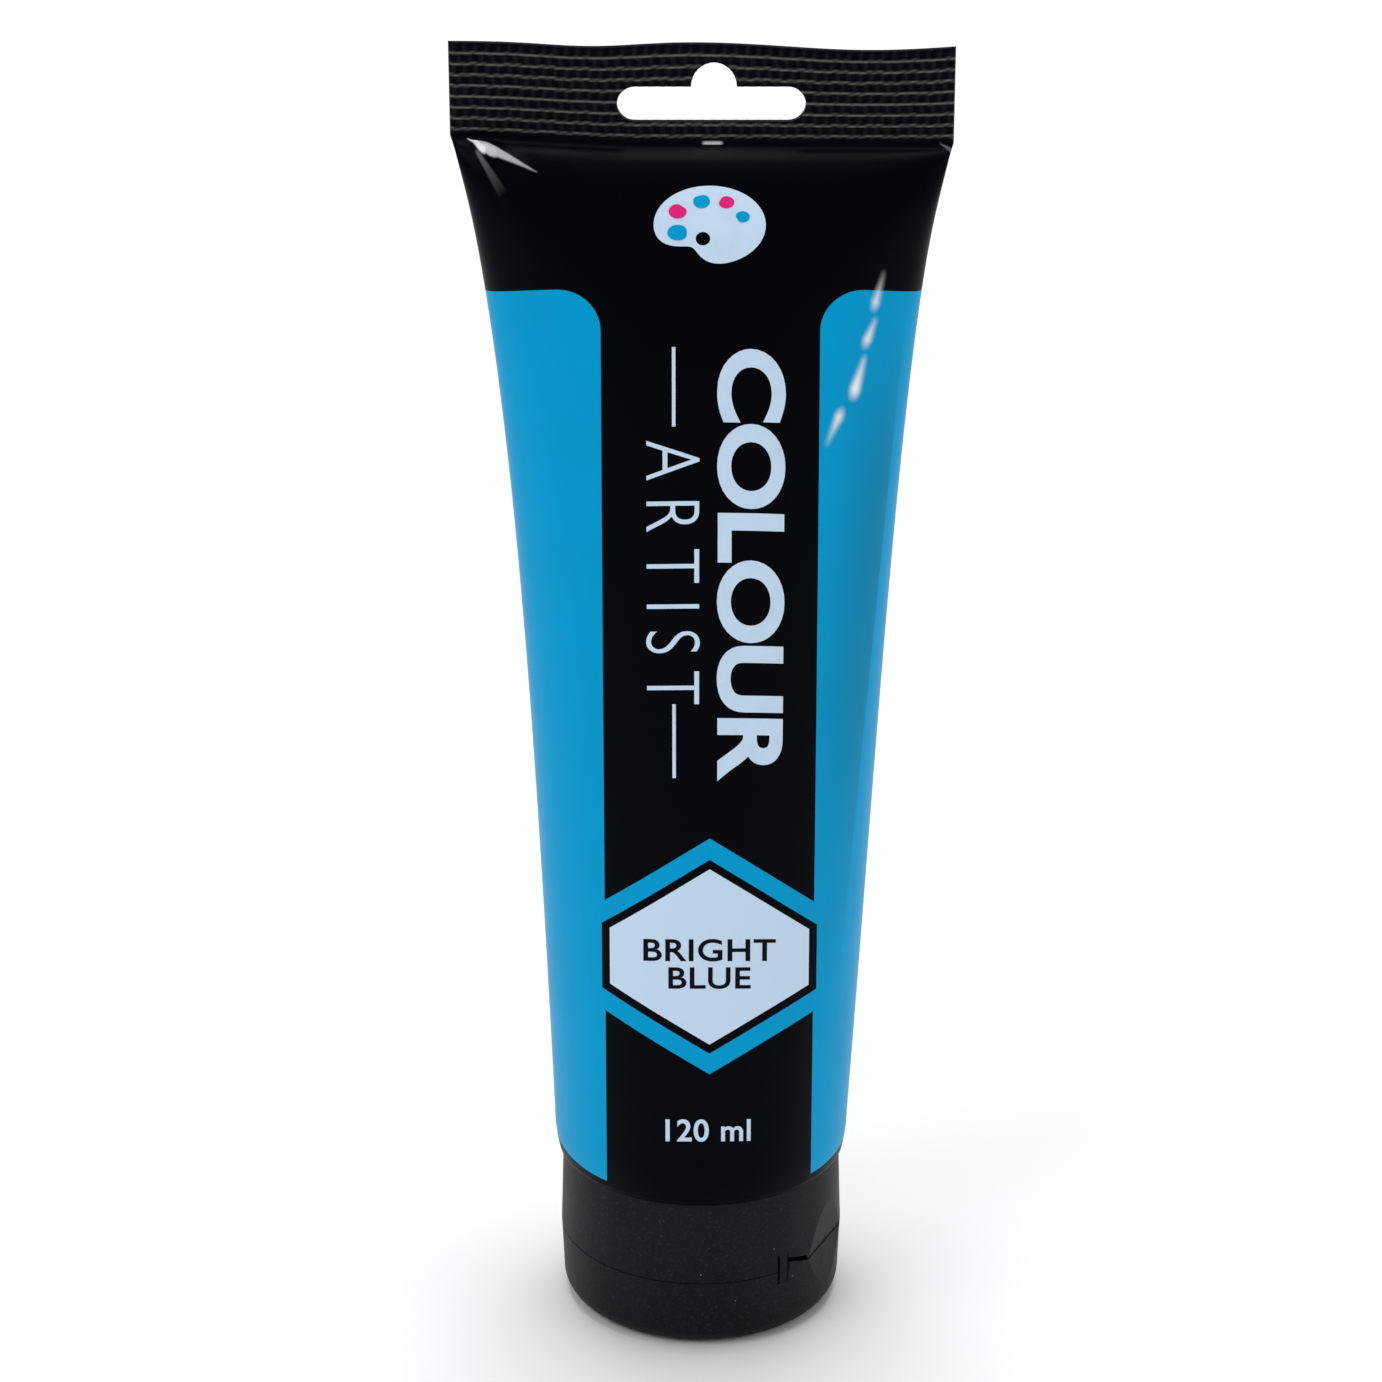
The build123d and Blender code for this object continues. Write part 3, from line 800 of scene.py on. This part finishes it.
def slot_cutter(slot, crimp_z):
    """The punch that cuts the hang slot: a long slot with a half-round bump on it."""
    end_r = slot.height / 2
    middle = crimp_z + slot.foot + end_r
    run = slot.length / 2 - end_r
    steps = 16
    outline = []
    for centre, first in ((run, -0.25), (-run, 0.25)):
        if centre < 0:
            for step in range(steps + 1):
                angle = math.pi * step / steps
                x = slot.bump_across + slot.bump_width / 2 * math.cos(angle)
                outline.append((x, end_r + slot.bump_height * math.sin(angle)))
        for step in range(steps + 1):
            angle = TURN * (first + step / steps / 2)
            outline.append((centre + end_r * math.cos(angle), end_r * math.sin(angle)))
    made = bmesh.new()
    depth = 4 * MM
    loops = [
        [made.verts.new((slot.across + x, y, middle + z)) for x, z in outline]
        for y in (-depth, depth)
    ]
    count = len(outline)
    made.faces.new(loops[0])
    made.faces.new(reversed(loops[1]))
    for k in range(count):
        n = (k + 1) % count
        made.faces.new((loops[0][n], loops[0][k], loops[1][k], loops[1][n]))
    bmesh.ops.recalc_face_normals(made, faces=made.faces)
    mesh = bpy.data.meshes.new("slot_cutter")
    made.to_mesh(mesh)
    made.free()
    return new_piece("slot_cutter", mesh)


class MakeSleeve(bpy.types.Operator):
    """Makes the printed sleeve with its pressed crimp and punched hang slot"""

    bl_idname = "paint_tube.make_sleeve"
    bl_label = "Make Sleeve"

    def execute(self, context):
        scene = context.scene
        shape = scene.sleeve_shape
        film = printed_film(scene.artwork, shape)
        sleeve = new_piece("printed_sleeve", bpy.data.meshes.new("printed_sleeve"))
        tree, values = sleeve_tree(shape, film)
        modifier = sleeve.modifiers.new("shape", "NODES")
        modifier.node_group = tree
        for identifier, value in values.items():
            modifier[identifier] = value
        settle(sleeve)
        smooth(sleeve.data)
        cutter = slot_cutter(scene.slot_shape, shape.top_height - shape.crimp_height)
        cut = sleeve.modifiers.new("hang_slot", "BOOLEAN")
        cut.operation = "DIFFERENCE"
        cut.solver = "EXACT"
        cut.object = cutter
        settle(sleeve)
        bpy.data.objects.remove(cutter)
        dress(sleeve, film, "tube")
        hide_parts("tube_sleeve")
        return {"FINISHED"}


# ---- print: lettering, emblem ----


class PrintedFace:
    """The front of the sleeve laid flat: across, and down from the crimp along the film."""

    def __init__(self, mesh):
        count = len(mesh.vertices)
        flat = np.zeros(count * 3)
        mesh.attributes["print"].data.foreach_get("vector", flat)
        flat = flat.reshape(-1, 3)
        used = [
            tuple(face.vertices)
            for face in mesh.polygons
            if all(flat[v][2] > 0.02 and flat[v][1] > -MM for v in face.vertices)
        ]
        self.faces = [(f[0], f[k], f[k + 1]) for f in used for k in range(1, len(f) - 1)]
        self.flat = [Vector((p[0], p[1], 0)) for p in flat]
        self.real = [v.co.copy() for v in mesh.vertices]
        self.normals = [v.normal.copy() for v in mesh.vertices]
        self.tree = BVHTree.FromPolygons(self.flat, self.faces)

    def at(self, x, down):
        """The place on the film and the way it faces."""
        found, _, index, _ = self.tree.find_nearest(Vector((x, down, 0)))
        if found is None:
            raise RuntimeError(f"nothing is printed at {x}, {down}")
        corners = self.faces[index]
        flat = [self.flat[c] for c in corners]
        real = barycentric_transform(found, *flat, *(self.real[c] for c in corners))
        normal = barycentric_transform(found, *flat, *(self.normals[c] for c in corners))
        return real, normal.normalized()


def flat_mesh(curve):
    """The filled flat mesh of a text or outline."""
    piece = new_piece("flat_outline", curve)
    mesh = evaluated(piece)
    bpy.data.objects.remove(piece)
    return mesh


def words_mesh(words, weight, spacing):
    """A word as a flat mesh. A weight above or below 0 makes its strokes bolder or finer."""
    curve = bpy.data.curves.new("words", "FONT")
    curve.body = words
    curve.offset = weight
    curve.space_character = spacing
    curve.resolution_u = 8
    curve.fill_mode = "FRONT"
    return flat_mesh(curve)


def outline_mesh(loops):
    """A flat mesh from closed outlines; an outline inside another is a hole."""
    curve = bpy.data.curves.new("outline", "CURVE")
    curve.dimensions = "2D"
    curve.fill_mode = "FRONT"
    for loop in loops:
        spline = curve.splines.new("POLY")
        spline.points.add(len(loop) - 1)
        for point, (x, y) in zip(spline.points, loop):
            point.co = (x, y, 0, 1)
        spline.use_cyclic_u = True
    return flat_mesh(curve)


def fit_in_box(made, box, turned):
    """Stretches a flat mesh to a box of the print; turned reads down the tube."""
    low = [min(v.co[k] for v in made.verts) for k in (0, 1)]
    high = [max(v.co[k] for v in made.verts) for k in (0, 1)]
    left, top, right, bottom = box
    for vert in made.verts:
        a = (vert.co.x - low[0]) / (high[0] - low[0])
        b = (vert.co.y - low[1]) / (high[1] - low[1])
        if turned:
            vert.co = (left + b * (right - left), top + a * (bottom - top), 0)
        else:
            vert.co = (left + a * (right - left), bottom + b * (top - bottom), 0)
    bmesh.ops.remove_doubles(made, verts=made.verts, dist=0.0005 * MM)


def cut_in_strips(made, box):
    """Cuts a flat mesh into narrow strips both ways, so that it can follow the round film."""
    left, top, right, bottom = box
    for axis, start, end, strip in ((0, left, right, 0.8 * MM), (1, top, bottom, 1.6 * MM)):
        for k in range(1, math.ceil((end - start) / strip)):
            at = [0.0, 0.0, 0.0]
            way = [0.0, 0.0, 0.0]
            at[axis] = start + k * strip
            way[axis] = 1.0
            everything = made.verts[:] + made.edges[:] + made.faces[:]
            bmesh.ops.bisect_plane(made, geom=everything, plane_co=at, plane_no=way)
    bmesh.ops.triangulate(made, faces=made.faces)


def laid_on(name, mesh, box, turned, face, lift, thick):
    """Fits a flat mesh into a box of the print and wraps it on the film as a thin solid.

    The box is (left, top, right, bottom) in metres, and lift is how high its middle lies.
    """
    made = bmesh.new()
    made.from_mesh(mesh)
    fit_in_box(made, box, turned)
    cut_in_strips(made, box)
    made.verts.ensure_lookup_table()
    solid = bmesh.new()
    upper, lower = [], []
    for vert in made.verts:
        real, normal = face.at(vert.co.x, vert.co.y)
        upper.append(solid.verts.new(real + normal * (lift + thick / 2)))
        lower.append(solid.verts.new(real + normal * (lift - thick / 2)))
    for flat_face in made.faces:
        ring = [v.index for v in flat_face.verts]
        solid.faces.new([upper[k] for k in ring])
        solid.faces.new([lower[k] for k in reversed(ring)])
    for edge in made.edges:
        if len(edge.link_faces) == 1:
            a, b = (v.index for v in edge.verts)
            solid.faces.new((upper[a], upper[b], lower[b], lower[a]))
    made.free()
    bmesh.ops.recalc_face_normals(solid, faces=solid.faces)
    out = bpy.data.meshes.new(name)
    solid.to_mesh(out)
    solid.free()
    return new_piece(name, out)


def ring_points(centre, radii, count=48, dent=0.0, dent_at=0.0, dent_width=0.6):
    """A closed oval outline, with an optional soft dent in one side."""
    points = []
    for k in range(count):
        angle = TURN * k / count
        gap = math.remainder(angle - dent_at, TURN)
        shrink = 1 - dent * math.exp(-((gap / dent_width) ** 2))
        points.append((
            centre[0] + radii[0] * shrink * math.cos(angle),
            centre[1] + radii[1] * shrink * math.sin(angle),
        ))
    return points


WORDS = [
    # name, words, weight, spacing, (left, top, right, bottom) in mm, reads down, dark ink
    ("bold_word", "COLOUR", 0.034, 0.98, (1.8, 25.4, 9.95, 79.1), True, False),
    ("fine_word", "ARTIST", -0.014, 1.45, (-6.7, 36.4, -0.24, 69.2), True, False),
    ("shade_word_upper", "BRIGHT", 0.014, 1.05, (-7.2, 99.9, 9.2, 102.9), False, True),
    ("shade_word_lower", "BLUE", 0.014, 1.05, (-4.1, 103.7, 6.1, 106.6), False, True),
    ("volume_mark", "120 ml", 0.016, 1.05, (-4.5, 124.4, 6.2, 127.5), False, False),
]
FINE_LINES = [(25.2, 34.7), (69.2, 78.7)]
FINE_LINE_X = -3.35
FINE_LINE_WIDTH = 0.42


class PrintArtwork(bpy.types.Operator):
    """Prints the lettering, the fine lines and the palette emblem on the sleeve"""

    bl_idname = "paint_tube.print_artwork"
    bl_label = "Print Artwork"

    def execute(self, context):
        art = context.scene.artwork
        face = PrintedFace(bpy.data.objects["printed_sleeve"].data)
        pale = ink("pale_ink", tuple(art.pale))
        dark = ink("dark_ink", tuple(art.dark))
        for name, words, weight, spacing, box, turned, is_dark in WORDS:
            mesh = words_mesh(words, weight, spacing)
            box = [n * MM for n in box]
            piece = laid_on(name, mesh, box, turned, face, 0.0, art.film)
            dress(piece, dark if is_dark else pale, "tube")
        square = [(0, 0), (1, 0), (1, 1), (0, 1)]
        for number, (top, bottom) in enumerate(FINE_LINES):
            half = FINE_LINE_WIDTH / 2
            box = [n * MM for n in (FINE_LINE_X - half, top, FINE_LINE_X + half, bottom)]
            name = f"fine_line_{number + 1}"
            piece = laid_on(name, outline_mesh([square]), box, False, face, 0.0, art.film)
            dress(piece, pale, "tube")
        self.emblem(art, face, pale)
        return {"FINISHED"}

    def emblem(self, art, face, pale):
        """A painter's palette with a thumb hole and dabs of paint."""
        centre_x, centre_y = art.centre - 0.1 * MM, art.emblem
        half_x, half_y = art.emblem_width, art.emblem_height
        board = [
            ring_points((0, 0), (1, 1), 96, 0.36, -2.1, 0.42),
            ring_points((-0.12, -0.34), (0.13, 0.17), 32),
        ]
        box = (centre_x - half_x, centre_y - half_y, centre_x + half_x, centre_y + half_y)
        piece = laid_on("emblem_board", outline_mesh(board), box, False, face, 0.0, art.film)
        dress(piece, pale, "tube")
        inks = {
            "blue": ink("blue_ink", tuple(art.blue)),
            "pink": ink("pink_ink", tuple(art.pink)),
        }
        # ink, degrees round the board from its right end, share of the way to the edge
        dabs = [
            ("blue", 200, 0.62),
            ("pink", 150, 0.66),
            ("blue", 104, 0.6),
            ("pink", 62, 0.64),
            ("blue", 18, 0.62),
        ]
        for number, (tone, degrees, reach) in enumerate(dabs):
            x = centre_x + half_x * reach * math.cos(math.radians(degrees))
            y = centre_y - half_y * reach * math.sin(math.radians(degrees))
            spread = (1.15 - 0.08 * number) * MM
            box = (x - spread, y - 0.8 * spread, x + spread, y + 0.8 * spread)
            loop = ring_points((0, 0), (1, 1), 40, 0.16, 0.9 * number, 0.5)
            piece = laid_on(
                f"emblem_dab_{number + 1}", outline_mesh([loop]), box, False, face,
                0.6 * art.film, art.film,
            )
            dress(piece, inks[tone], "tube")


# ---- head, cap and hinge ----


def give(node, finish_made):
    """Gives a CAD node a better material."""
    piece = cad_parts[node]
    piece.data.materials.clear()
    piece.data.materials.append(finish_made)


class FinishHead(bpy.types.Operator):
    """Gives the shoulder, the foil seal and the paint their materials"""

    bl_idname = "paint_tube.finish_head"
    bl_label = "Finish Head"

    def execute(self, context):
        give("tube_shoulder", shoulder_plastic())
        give("foil_seal", foil())
        give("paint_fill", wet_paint(context.scene.artwork))
        return {"FINISHED"}


class FinishCap(bpy.types.Operator):
    """Gives the base and the lid of the cap their moulded plastic"""

    bl_idname = "paint_tube.finish_cap"
    bl_label = "Finish Cap"

    def execute(self, context):
        cap = context.scene.cap_finish
        plastic = moulded_plastic("cap_plastic", cap, tuple(cap.plastic))
        give("cap_base", plastic)
        give("flip_lid", plastic)
        return {"FINISHED"}


def bending_strip(name, outline, low, high, rows):
    """A closed strip of one outline, with rows of points up it so that it can bend."""
    made = bmesh.new()
    loops = []
    for row in range(rows + 1):
        z = low + (high - low) * row / rows
        loops.append([made.verts.new((x, y, z)) for x, y in outline])
    count = len(outline)
    for lower, upper in zip(loops, loops[1:]):
        for k in range(count):
            n = (k + 1) % count
            made.faces.new((lower[k], lower[n], upper[n], upper[k]))
    made.faces.new(reversed(loops[0]))
    made.faces.new(loops[-1])
    bmesh.ops.recalc_face_normals(made, faces=made.faces)
    mesh = bpy.data.meshes.new(name)
    made.to_mesh(mesh)
    made.free()
    return new_piece(name, mesh)


class MakeHinge(bpy.types.Operator):
    """Makes the thin film and the two spring straps that bend as the lid opens"""

    bl_idname = "paint_tube.make_hinge"
    bl_label = "Make Hinge"

    def execute(self, context):
        cap = context.scene.cap_finish
        plastic = moulded_plastic("hinge_plastic", cap, tuple(cap.plastic))
        for node in ("hinge_film", "hinge_strap_front", "hinge_strap_rear"):
            low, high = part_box(node)
            outline = node_outline(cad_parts[node].data)
            piece = bending_strip(f"{node}_bending", outline, low.z, high.z, STRIP_ROWS)
            dress(piece, plastic, "cap")
            piece.parent = None
            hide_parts(node)
            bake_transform(piece)
        return {"FINISHED"}


def node_outline(mesh):
    """The outline of an upright node, seen from above, in order."""
    points = {(round(v.co.x, 7), round(v.co.y, 7)) for v in mesh.vertices}
    centre = Vector(np.mean(list(points), axis=0))
    return sorted(points, key=lambda p: math.atan2(p[1] - centre.y, p[0] - centre.x))


# ---- floor, light and camera ----


def area_light(name, place_at, target, width, power):
    """A soft square white light that faces a point."""
    data = bpy.data.lights.new(name, "AREA")
    data.size = width
    data.energy = power
    lamp = new_piece(name, data)
    lamp.location = place_at
    lamp.rotation_euler = (Vector(target) - Vector(place_at)).to_track_quat("-Z", "Y").to_euler()


class SetStage(bpy.types.Operator):
    """Lays the pale floor and sets the soft lights and the camera"""

    bl_idname = "paint_tube.set_stage"
    bl_label = "Set Stage"

    def execute(self, context):
        scene = context.scene
        studio = scene.studio
        made = bmesh.new()
        bmesh.ops.create_grid(made, x_segments=4, y_segments=4, size=FLOOR_HALF_WIDTH)
        mesh = bpy.data.meshes.new("floor")
        made.to_mesh(mesh)
        made.free()
        mesh.materials.append(studio_floor(studio))
        floor = new_piece("floor", mesh)
        world = bpy.data.worlds.new("studio_sky")
        world.use_nodes = True
        sky = world.node_tree.nodes["Background"]
        sky.inputs["Color"].default_value = (1, 1, 1, 1)
        sky.inputs["Strength"].default_value = studio.sky
        scene.world = world
        for name, place_at, target, width, power in LIGHTS:
            area_light(name, place_at, target, width, getattr(studio, power))
        camera_data = bpy.data.cameras.new("camera")
        camera_data.lens = studio.lens
        camera_data.sensor_width = FILM_WIDTH
        camera_data.clip_start = 0.01
        camera = new_piece("camera", camera_data)
        camera.location = (-studio.aside, -studio.distance, studio.height)
        camera.rotation_euler = (math.pi / 2 - studio.pitch, 0, 0)
        scene.camera = camera
        scene.view_settings.view_transform = "Standard"
        return {"FINISHED"}


class PaintTubePanel(bpy.types.Panel):
    """Lists the steps that make the tube"""

    bl_idname = "VIEW3D_PT_paint_tube"
    bl_label = "Paint Tube"
    bl_space_type = "VIEW_3D"
    bl_region_type = "UI"
    bl_category = "Paint Tube"

    def draw(self, context):
        column = self.layout.column()
        for operator in OPERATORS:
            column.operator(operator.bl_idname)
        for group in GROUPS:
            column.separator()
            values = getattr(context.scene, GROUPS[group])
            for name in values.bl_rna.properties.keys():
                if name not in ("name", "rna_type"):
                    column.prop(values, name)


GROUPS = {
    SleeveShape: "sleeve_shape",
    SlotShape: "slot_shape",
    Artwork: "artwork",
    CapFinish: "cap_finish",
    Studio: "studio",
}
OPERATORS = (SetStage, MakeSleeve, PrintArtwork, FinishHead, FinishCap, MakeHinge)


def register():
    for made in (*GROUPS, *OPERATORS, PaintTubePanel):
        bpy.utils.register_class(made)
    for group, name in GROUPS.items():
        setattr(bpy.types.Scene, name, PointerProperty(type=group))


def unregister():
    for name in GROUPS.values():
        delattr(bpy.types.Scene, name)
    for made in (PaintTubePanel, *OPERATORS, *GROUPS):
        bpy.utils.unregister_class(made)


def main():
    """Makes the whole tube."""
    register()
    bpy.ops.paint_tube.set_stage()
    bpy.ops.paint_tube.make_sleeve()
    bpy.ops.paint_tube.print_artwork()
    bpy.ops.paint_tube.finish_head()
    bpy.ops.paint_tube.finish_cap()
    bpy.ops.paint_tube.make_hinge()


if __name__ == "__main__":
    main()
